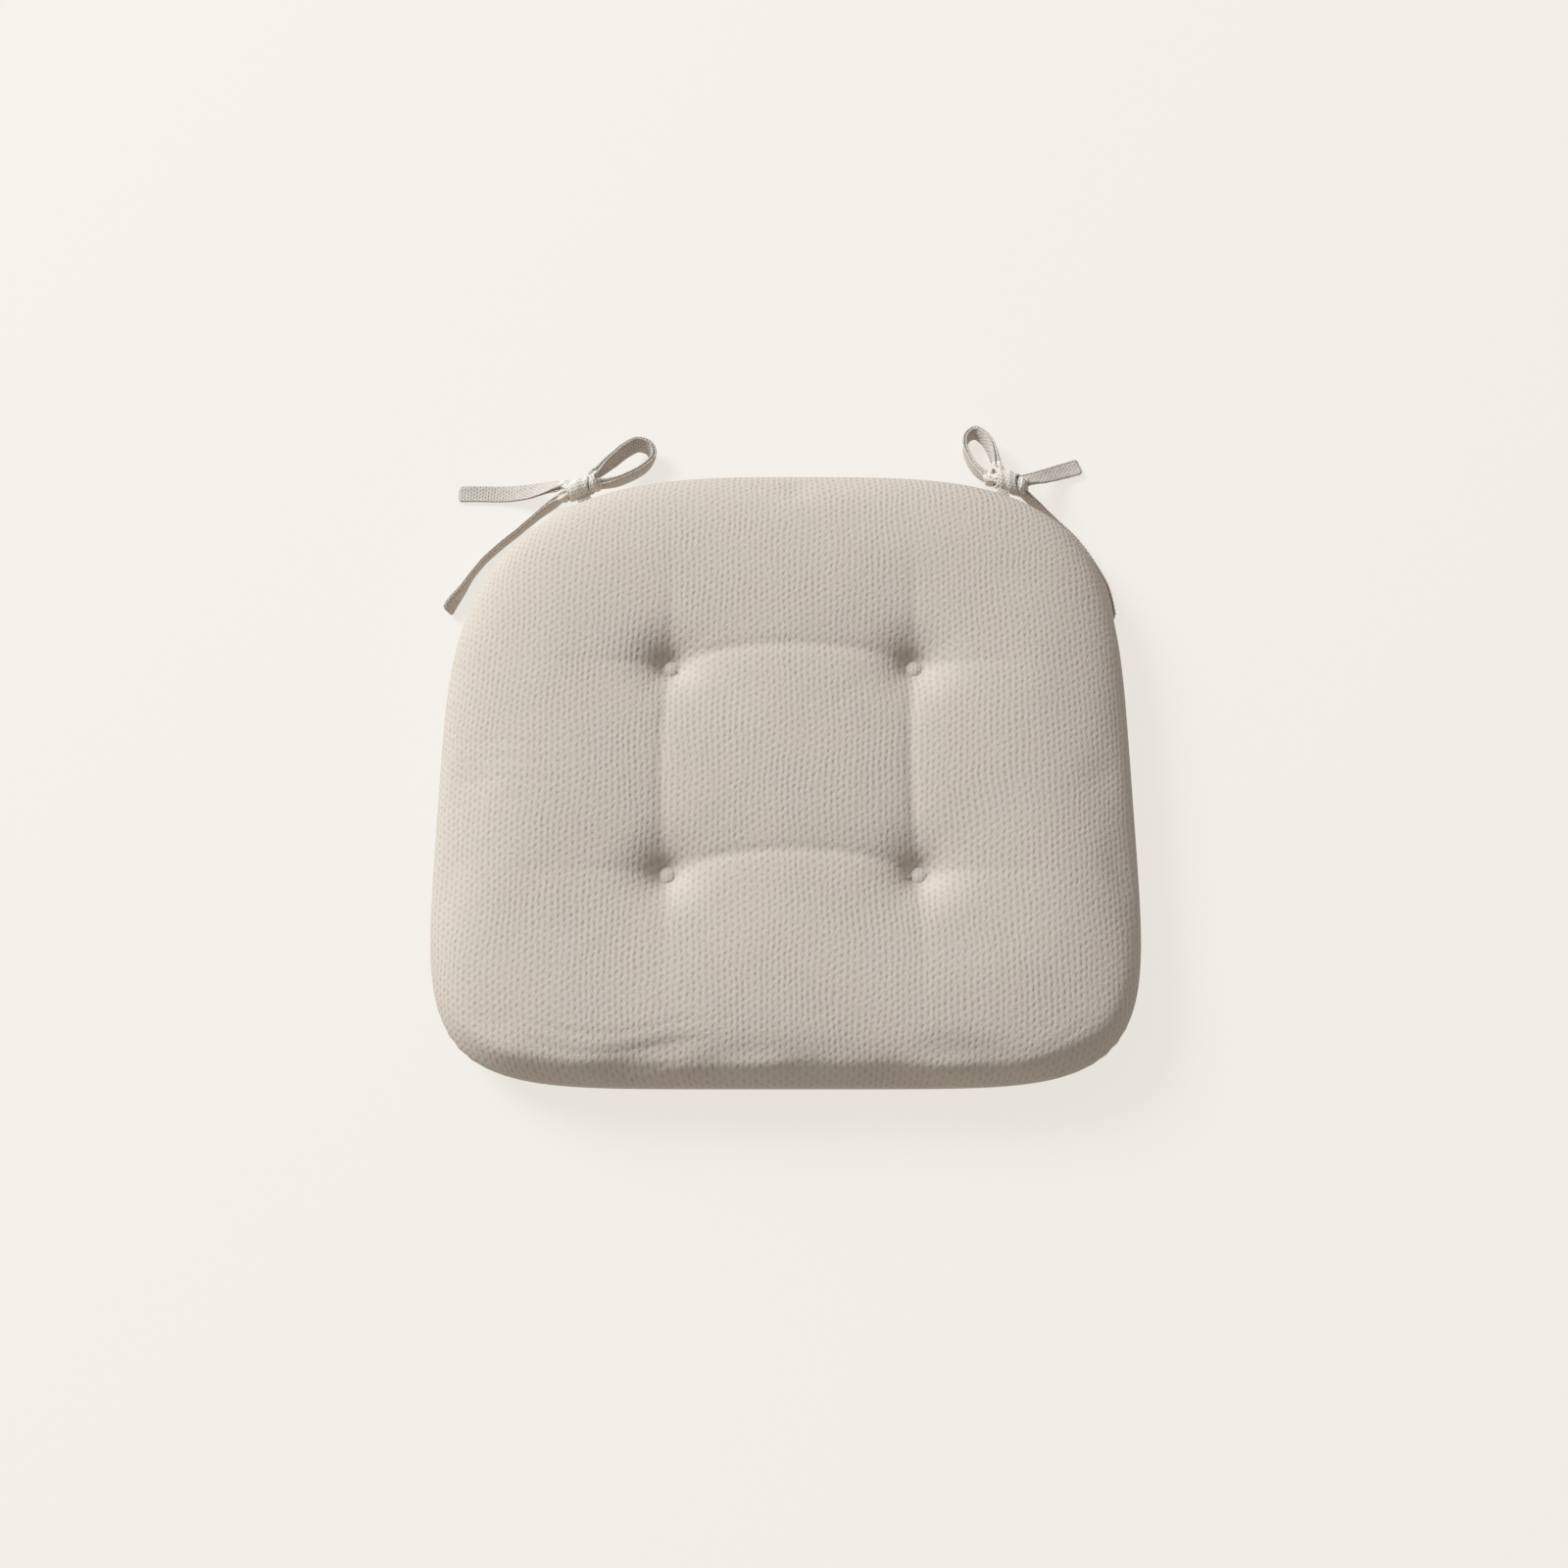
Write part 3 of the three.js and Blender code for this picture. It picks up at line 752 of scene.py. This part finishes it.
def skin(name, rings, material, loop=False, planar=False):
    """A closed piece from rings of points. A loop's last ring joins its first, else fans close the ends."""
    rings = np.asarray(rings)
    count, around = rings.shape[:2]
    following = np.roll(rings, -1, axis=0) if loop else rings[1:]
    along = np.linalg.norm(following - rings[: len(following)], axis=2).mean(axis=1)
    along = np.concatenate([[0], np.cumsum(along)])
    across = np.linalg.norm(np.roll(rings, -1, axis=1) - rings, axis=2).mean(axis=0)
    across = np.concatenate([[0], np.cumsum(across)])
    points = rings.reshape(-1, 3).tolist()
    faces, flat = [], []
    for i in range(count if loop else count - 1):
        for j in range(around):
            square = [(i, j), (i, j + 1), (i + 1, j + 1), (i + 1, j)]
            faces.append([(a % count) * around + b % around for a, b in square])
            flat += [(along[a], across[b]) for a, b in square]
    if not loop:
        for i in (0, count - 1):
            points.append(rings[i].mean(axis=0).tolist())
            for j in range(around):
                faces.append([len(points) - 1, i * around + j, i * around + (j + 1) % around])
                flat += [(along[i], across[j]), (along[i], across[j]), (along[i], across[j + 1])]
    mesh = bpy.data.meshes.new(name)
    mesh.from_pydata(points, [], faces)
    if planar:
        flat = [points[k][:2] for face in faces for k in face]
    layer = mesh.uv_layers.new(name="flat")
    layer.data.foreach_set("uv", np.array(flat, np.float32).ravel())
    tidy = bmesh.new()
    tidy.from_mesh(mesh)
    bmesh.ops.recalc_face_normals(tidy, faces=tidy.faces)
    tidy.to_mesh(mesh)
    tidy.free()
    return link(mesh, name, material)


def circles(profile, steps, centre=(0, 0, 0), pleat=0.0, pleats=12):
    """Rings of a turned shape from (radius, height) pairs. Pleats ripple it more towards the last one."""
    turn = np.linspace(0, 2 * np.pi, steps, endpoint=False)
    rings = []
    for k, (radius, height) in enumerate(profile):
        ripple = radius + pleat * (k / (len(profile) - 1)) ** 3 * np.cos(pleats * turn)
        ring = np.column_stack([ripple * np.cos(turn), ripple * np.sin(turn), np.full(steps, height)])
        rings.append(ring * MM + np.array(centre))
    return rings


# %% [markdown]
# ## The tufts
# Each tuft is a covered button on top: a small metal form with a disc of the same cloth gathered behind it,
# which leaves tiny pleats round its rim. Its twine runs down through the pad to a flat plastic button, and
# ends in a small knot there. The dome stands a little above the cloth that it pulls down.

# %% The tufts


def plastic_material():
    """Pale plastic with a faint cloudiness, from object coordinates."""
    material, tree, shader = new_material("anchor_plastic")
    cloudy = put(tree, "ShaderNodeTexNoise", (object_places(tree), None, 260.0, 3.0)).outputs["Fac"]
    colour = mix_colour(tree, cloudy, (0.76, 0.72, 0.64, 1), (0.84, 0.8, 0.73, 1))
    feed(tree, shader.inputs["Base Color"], colour)
    feed(tree, shader.inputs["Roughness"], calc(tree, "MULTIPLY_ADD", cloudy, 0.2, 0.3))
    return material


def thread_material(name, light, dark, pitch):
    """A twisted thread: fine slanting turns and a little fuzz, from object coordinates."""
    material, tree, shader = new_material(name)
    coords = object_places(tree)
    bands = put(tree, "ShaderNodeTexWave", (coords, 1 / pitch, 0.4), bands_direction="DIAGONAL")
    twist = bands.outputs["Fac"]
    fuzz = put(tree, "ShaderNodeTexNoise", (coords, None, 2400.0, 2.0)).outputs["Fac"]
    # The grooves between the turns are darker with painted shade, and the fuzz varies the thread's own tone.
    shade = calc(tree, "MULTIPLY_ADD", fuzz, 0.4, calc(tree, "MULTIPLY", twist, 0.6))
    feed(tree, shader.inputs["Base Color"], mix_colour(tree, shade, (*dark, 1), (*light, 1)))
    add_bump(tree, shader, shade, 0.08 * MM)
    shader.inputs["Roughness"].default_value = 0.85
    return material


PLASTIC = plastic_material()
THREAD = thread_material("thread", (0.62, 0.56, 0.48), (0.36, 0.31, 0.26), 1.1 * MM)


def ride(piece, body, replaces=()):
    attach(piece, body)
    if replaces:
        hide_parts(*replaces)


def dress_tuft(name):
    """A tuft's covered button, anchor disc and twine, from profiles of radius and height in mm."""
    x, y, _ = middle_of(f"button_cover_{name}")
    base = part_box(f"button_cover_{name}")[0][2] / MM
    dome = [(5.45 * math.sin(a), base + 0.7 + 2.7 * math.cos(a)) for a in np.linspace(0.06, 1.5, 12)]
    rim = [(5.5, base + 0.5), (5.4, base + 0.15), (5.0, base)]
    rings = circles(dome + rim, 60, (x, y, 0), 0.14)
    button = skin(f"covered_button_{name}", rings, BUTTON_CLOTH, planar=True)
    ride(button, "pad", [f"button_cover_{name}"])

    low, high = (corner[2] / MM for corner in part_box(f"anchor_button_{name}"))
    bead = [
        (1.0, low + 0.5), (1.0, high - 0.4), (4.7, high - 0.4), (5.6, high - 0.1), (6.4, high),
        (6.9, high - 0.4), (7.0, low + 0.9), (6.7, low + 0.3), (6.1, low), (5.4, low + 0.2), (4.8, low + 0.5),
    ]
    turned = np.array(circles(bead, 48, (x, y, 0)))
    anchor = skin(f"anchor_disc_{name}", turned.transpose(1, 0, 2), PLASTIC, loop=True, planar=True)
    ride(anchor, "pad", [f"anchor_button_{name}"])

    bottom, top = (corner[2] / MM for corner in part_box(f"tuft_twine_{name}"))
    knot = [(1.75 * math.sin(a), bottom + 0.85 - 0.85 * math.cos(a)) for a in np.linspace(0.2, 2.6, 9)]
    shaft = [(0.7 + 0.06 * (k % 2), z) for k, z in enumerate(np.linspace(bottom + 1.8, top, 40))]
    twine = skin(f"twine_{name}", circles(knot + shaft, 16, (x, y, 0)), THREAD)
    ride(twine, "pad", [f"tuft_twine_{name}"])


for name in TUFTS:
    dress_tuft(name)

# %% [markdown]
# ## The stitches
# Stitches repeat along a line, which is what Geometry Nodes is for. The tree turns a line of edges into a
# curve, measures it off in equal steps, sets one small rounded stitch at each step along the line's own
# direction, and makes them real. The result is baked to a plain mesh.

# %% The stitch tree


def stitch_tree():
    tree = bpy.data.node_groups.new("stitch_row", "GeometryNodeTree")
    face = tree.interface
    face.new_socket("Line", in_out="INPUT", socket_type="NodeSocketGeometry")
    for name in ("Pitch", "Length", "Thread"):
        face.new_socket(name, in_out="INPUT", socket_type="NodeSocketFloat")
    face.new_socket("Finish", in_out="INPUT", socket_type="NodeSocketMaterial")
    face.new_socket("Stitches", in_out="OUTPUT", socket_type="NodeSocketGeometry")
    given = tree.nodes.new("NodeGroupInput").outputs
    result = tree.nodes.new("NodeGroupOutput")

    def node(kind, mode=None, **inputs):
        made = tree.nodes.new(kind)
        if mode:
            made.mode = mode
        for key, value in inputs.items():
            feed(tree, made.inputs[key], value)
        return made

    curve = node("GeometryNodeMeshToCurve", Mesh=given["Line"])
    steps = node("GeometryNodeResampleCurve", "LENGTH", Curve=curve.outputs[0], Length=given["Pitch"])
    bead = node("GeometryNodeMeshUVSphere", Segments=6, Rings=4, Radius=0.5)
    size = node("ShaderNodeCombineXYZ", X=given["Thread"], Y=given["Thread"], Z=given["Length"])
    stitch = node("GeometryNodeTransform", Geometry=bead.outputs[0], Scale=size.outputs[0])
    tangent = node("GeometryNodeInputTangent")
    turn = node("FunctionNodeAlignRotationToVector", Vector=tangent.outputs[0])
    turn.axis = "Z"
    placed = node("GeometryNodeInstanceOnPoints", Points=steps.outputs[0], Instance=stitch.outputs[0])
    feed(tree, placed.inputs["Rotation"], turn.outputs[0])
    real = node("GeometryNodeRealizeInstances", Geometry=placed.outputs[0])
    smooth = node("GeometryNodeSetShadeSmooth", Geometry=real.outputs[0])
    finished = node("GeometryNodeSetMaterial", Geometry=smooth.outputs[0], Material=given["Finish"])
    tree.links.new(finished.outputs[0], result.inputs[0])
    return tree


STITCHES = stitch_tree()


def stitch(name, lines, pitch, length, thread):
    """A row of stitches along each line of points, as one plain mesh."""
    points, edges = [], []
    for line in lines:
        edges += [(len(points) + k, len(points) + k + 1) for k in range(len(line) - 1)]
        points += np.asarray(line).tolist()
    source = bpy.data.meshes.new(name)
    source.from_pydata(points, edges, [])
    row = bpy.data.objects.new(name, source)
    bpy.context.collection.objects.link(row)
    modifier = row.modifiers.new("stitches", "NODES")
    modifier.node_group = STITCHES
    values = {"Pitch": pitch, "Length": length, "Thread": thread, "Finish": THREAD}
    for item in STITCHES.interface.items_tree:
        if item.in_out == "INPUT" and item.name in values:
            modifier[item.identifier] = values[item.name]
    baked = bpy.data.meshes.new_from_object(row.evaluated_get(bpy.context.evaluated_depsgraph_get()))
    row.modifiers.clear()
    row.data = baked
    return row


SEAM_INSET = 5 * MM
turns = np.linspace(0, 2 * np.pi, 721)
ring = outline_radius(turns) - SEAM_INSET
seam_line = np.column_stack([ring * np.cos(turns), ring * np.sin(turns), np.full(len(turns), SEAM_Z)])
seam_stitches = stitch("seam_stitches", [seam_line], 3.2 * MM, 2.6 * MM, 0.9 * MM)
ride(seam_stitches, "pad", ["seam_thread"])
print("seam stitches", len(seam_stitches.data.polygons), "faces")

# %% [markdown]
# ## The tie strips
# A tie is a strip of finer cloth folded over and stitched along its open edge. Its section is two plies
# that meet in a narrow slot. Near the knot the strip is gathered, narrower and thicker, and it widens to
# its full width over the next centimetre or so. Its free end is square with rounded corners.

# %% The tie strips
# Half of the section, across and up from the slot at the open edge to the fold, in millimetres.
SECTION = [
    (3.5, 0), (4.9, 0.14), (5.4, 0.34), (5.4, 0.66), (5.05, 0.86), (4.4, 0.82), (4.1, 0.66), (3.7, 0.8),
    (2.2, 0.84), (0, 0.84), (-2.2, 0.84), (-4.4, 0.82), (-5.15, 0.62), (-5.45, 0.3),
]
SECTION = np.array(SECTION + [(-5.5, 0)] + [(u, -v) for u, v in SECTION[:0:-1]]) * MM
GATHER_REACH = 7.8 * MM
CORNER = 2.6 * MM


def stations(length, rounded):
    """Distances along a strip, closer together where a free end is rounded."""
    plain = np.linspace(0, length - CORNER, max(2, round((length - CORNER) / (0.8 * MM))))
    end = CORNER * (np.sin(np.linspace(0, np.pi / 2, 9)[1:]) if rounded else np.array([0.5, 1]))
    return np.concatenate([plain, length - CORNER + end])


def strip_rings(name, route, length):
    """The rings of a strand along its route, gathered at its knot, and the frames that they stand in."""
    loop = name.endswith("loop")
    at = stations(length, not loop)
    even = np.linspace(0, length, len(route))
    fine = np.column_stack([np.interp(at, even, route[:, k]) for k in range(4)])
    places, across, face = strip_frames(fine)
    near = np.minimum(at, length - at) if loop else at
    gathered = np.exp(-((near / GATHER_REACH) ** 2))
    left = np.clip(length - at, 0, CORNER) if not loop else np.full(len(at), CORNER)
    corner = np.sqrt(np.clip(1 - (1 - left / CORNER) ** 2, 0, 1))
    narrowing = 0.08 if "flat" in name else 0.36
    fullness = 1.7 if loop else 1
    wide = (1 - narrowing * gathered) * (1 - (CORNER / (TIE_WIDTH / 2)) * (1 - corner))
    thin = (fullness + gathered) * np.maximum(np.sqrt(np.clip(left / (0.5 * CORNER), 0, 1)), 0.05)
    waver = np.array([noise.noise(Vector((900 * d, 40 * length, 0)) * 0.12) for d in at])
    rings = []
    for k in range(len(at)):
        u = SECTION[:, 0] * wide[k]
        v = SECTION[:, 1] * thin[k]
        pleat = 0.35 * MM * gathered[k] * np.cos(SECTION[:, 0] / MM * 2.4 + 1.2) * np.sign(SECTION[:, 1])
        cup = 0.5 * MM * (u / (TIE_WIDTH / 2)) ** 2 + 0.25 * MM * waver[k]
        rings.append(places[k] + np.outer(u, across[k]) + np.outer(v + pleat + cup, face[k]))
    return rings, (places, across, face)


def edge_rows(frames, length):
    """The line of stitches along a strip's open edge, on both of its faces."""
    places, across, face = frames
    inner = slice(10, -6)
    middle = places + across * 4.1 * MM
    lift = face * 0.76 * MM
    return [(middle + lift)[inner], (middle - lift)[inner]]


STRANDS = {}
for name, stops in ROUTES.items():
    route, length = smooth_route(stops)
    rings, frames = strip_rings(name, route, length)
    strand = skin(f"{name}_cloth", rings, TIE_CLOTH)
    ride(strand, name, [name])
    stitches = stitch(f"{name}_stitches", edge_rows(frames, length), 2.6 * MM, 1.9 * MM, 0.32 * MM)
    ride(stitches, name)
    STRANDS[name] = (strand, stitches, route, length)
    print(name, round(1000 * length), "mm")

# %% [markdown]
# ## The roots and the knots
# A tie is sewn into the seam by its middle, so its root is two plies side by side. The knot is a band
# wrapped twice, slanting, round a gathered core. Short collars stay with the knot where each strand
# leaves it, so that a strand can turn there and no gap opens.

# %% The roots and the knots


def corner_of(side):
    """The knot's middle, the way along the seam, the way out from the pad, and the root's half length."""
    knot, root = middle_of(f"{side}_knot"), middle_of(f"{side}_tie_root")
    out = (knot - root) * [1, 1, 0]
    reach = np.linalg.norm(out)
    out /= reach
    along = np.array([out[1], -out[0], 0])
    return knot, along, out, reach


def band(name, centre, along, out, width, radii, slant, shift):
    """Rings of a band wound once round a knot, with ridges where the strip is gathered in the wrap."""
    up = np.array([0, 0, 1.0])
    ridge = np.linspace(-1, 1, 15)
    rings = []
    for turn in np.linspace(0, 2 * np.pi, 72, endpoint=False):
        radial = out * math.cos(turn) + up * math.sin(turn)
        middle = centre + out * radii[0] * math.cos(turn) * MM + up * radii[1] * math.sin(turn) * MM
        middle = middle + along * slant * MM * math.cos(turn + shift)
        half = width * MM * (0.5 + 0.05 * math.sin(2 * turn + shift))
        fold = np.cos(ridge * 5.2 + 1.1 * math.sin(turn + shift)) * 0.34 * MM
        outer = 0.9 * MM * np.sqrt(np.clip(1 - ridge**4, 0.02, 1)) + fold * (1 - ridge**2)
        top = [middle + along * half * a + radial * h for a, h in zip(ridge, outer)]
        bottom = [middle + along * half * a * 0.94 - radial * 0.8 * MM for a in ridge[::-1]]
        rings.append(top + bottom)
    return skin(name, rings, PAINTED_LIGHT_KNOT_CLOTH, loop=True)


def core(name, centre, along, out, length, radii):
    """The gathered bundle inside a knot: a rounded bar with ridges along it."""
    up = np.array([0, 0, 1.0])
    turn = np.linspace(0, 2 * np.pi, 48, endpoint=False)
    rings = []
    for share in np.sin(np.linspace(-1, 1, 25) * np.pi / 2 * 0.98):
        swell_share = math.sqrt(max(0.0, 1 - abs(share) ** 3.2))
        ridge = 1 + 0.09 * np.cos(7 * turn + 1.5 * share)
        outward = np.outer(np.cos(turn) * ridge * radii[0] * swell_share * MM, out)
        upward = np.outer(np.sin(turn) * ridge * radii[1] * swell_share * MM, up)
        rings.append(centre + along * share * length / 2 * MM + outward + upward)
    return skin(name, rings, PAINTED_LIGHT_KNOT_CLOTH)


def collar(name, centre, strand):
    """The strip between the knot's core and the start of a strand, a little fuller than the strand is."""
    route = STRANDS[strand][2]
    ends = [route, route[::-1]] if strand.endswith("loop") else [route]
    made = []
    for k, path in enumerate(ends):
        start, second = path[0, :3], path[3, :3]
        forward = (second - start) / np.linalg.norm(second - start)
        inner = centre + (start - centre) * 0.35
        line = np.array([inner, start - forward * 1.5 * MM, start, start + forward * 1.6 * MM])
        lean = path[0, 3] if k == 0 else 180 - path[0, 3]
        places, across, face = strip_frames(np.column_stack([line, np.full(4, lean)]))
        rings = []
        for place, width_way, thick_way, full in zip(places, across, face, (0.8, 1.1, 1.12, 1.02)):
            u, v = SECTION[:, 0] * 0.7 * full, SECTION[:, 1] * 3.1 * full
            rings.append(place + np.outer(u, width_way) + np.outer(v, thick_way))
        made.append(skin(f"{name}_{k}", rings, PAINTED_LIGHT_KNOT_CLOTH))
    return made


def join(pieces, name):
    """Joins pieces into one, which keeps the first one's material."""
    with bpy.context.temp_override(active_object=pieces[0], selected_editable_objects=pieces):
        bpy.ops.object.join()
    pieces[0].name = name
    pieces[0].data.name = name
    return pieces[0]


def root_rings(side):
    _, along, out, reach = corner_of(side)
    middle = middle_of(f"{side}_tie_root")
    rings = []
    for share in np.linspace(0, 1, 14):
        place = middle + out * (reach * share - (reach - 6 * MM) * (1 - share))
        gathered = max(0.0, share - 0.6) / 0.4
        u = SECTION[:, 0] * (0.8 - 0.4 * gathered)
        v = SECTION[:, 1] * (1.5 + 0.6 * gathered)
        rings.append(place + np.outer(u, along) + np.outer(v, [0, 0, 1]))
    return rings


# Each wrap: its place along the knot, its width, its two radii and its slant, in millimetres.
WRAPS = {
    "left": [(0.8, 13.5, (5.5, 6.0), 2.6), (7.2, 5.5, (4.9, 5.4), -1.6), (-7.0, 5.0, (4.7, 5.0), 1.2)],
    "right": [(-4.8, 7.5, (5.6, 6.0), -3.0), (3.4, 10.5, (5.8, 6.3), 3.2), (8.8, 4.5, (4.6, 5.0), 1.0)],
}
for side in SIDES:
    knot, along, out, _ = corner_of(side)
    pieces = [core(f"{side}_core", knot, along, out, 20, (4.3, 4.6))]
    for k, (place, width, radii, slant) in enumerate(WRAPS[side]):
        centre = knot + along * place * MM
        pieces.append(band(f"{side}_band_{k}", centre, along, out, width, radii, slant, 0.4 + 1.5 * k))
    for strand in (n for n in ROUTES if n.startswith(side)):
        pieces += collar(f"{strand}_collar", knot, strand)
    wrapped = join(pieces, f"{side}_knot_cloth_painted_light")
    ride(wrapped, "pad", [f"{side}_knot"])
    root = skin(f"{side}_root_cloth", root_rings(side), TIE_CLOTH)
    ride(root, "pad", [f"{side}_tie_root"])

# %% [markdown]
# ## The parts inside
# The foam, the metal forms and the bar tacks keep the design's own meshes and only get a finish.

# %% Finishes for the parts inside


def dress(node, material):
    node.data.materials.clear()
    node.data.materials.append(material)


def foam_material():
    """Open-cell foam: small round pores, some deeper than others."""
    material, tree, shader = new_material("foam")
    pores = put(tree, "ShaderNodeTexVoronoi", (object_places(tree), None, 900.0), feature="SMOOTH_F1")
    cells = pores.outputs["Distance"]
    # The pores are darker with painted shade, in step with the bump that sinks them.
    colour = mix_colour(tree, cells, (0.55, 0.47, 0.3, 1), (0.82, 0.75, 0.55, 1))
    feed(tree, shader.inputs["Base Color"], colour)
    add_bump(tree, shader, cells, 0.4 * MM)
    shader.inputs["Roughness"].default_value = 0.95
    return material


def metal_material():
    """Drawn sheet metal with fine scratches."""
    material, tree, shader = new_material("button_metal")
    stretch = (400.0, 4000.0, 400.0)
    stretched = put(tree, "ShaderNodeMapping", (object_places(tree), None, None, stretch)).outputs[0]
    scratch = put(tree, "ShaderNodeTexNoise", (stretched, None, 1.0, 2.0)).outputs["Fac"]
    feed(tree, shader.inputs["Roughness"], calc(tree, "MULTIPLY_ADD", scratch, 0.3, 0.25))
    shader.inputs["Base Color"].default_value = (0.5, 0.51, 0.52, 1)
    shader.inputs["Metallic"].default_value = 1
    return material


dress(nodes["foam_core"], foam_material())
metal = metal_material()
for name in TUFTS:
    dress(nodes[f"button_mould_{name}"], metal)
for side in SIDES:
    dress(nodes[f"{side}_bar_tack"], THREAD)

# %% [markdown]
# ## The pad and its strands
# The pad stands for its covers and its fibre filling. The short right tail goes with the longer one beside
# it.

# %% The pad and its strands
ride(pad, "pad", ["top_cover", "bottom_cover", "upper_wadding", "lower_wadding"])
for name, (strand, stitches, route, length) in STRANDS.items():
    if name == "right_flat_tail":
        continue
    going_with = [stitches]
    if name == "right_edge_tail":
        going_with += STRANDS["right_flat_tail"][:2]
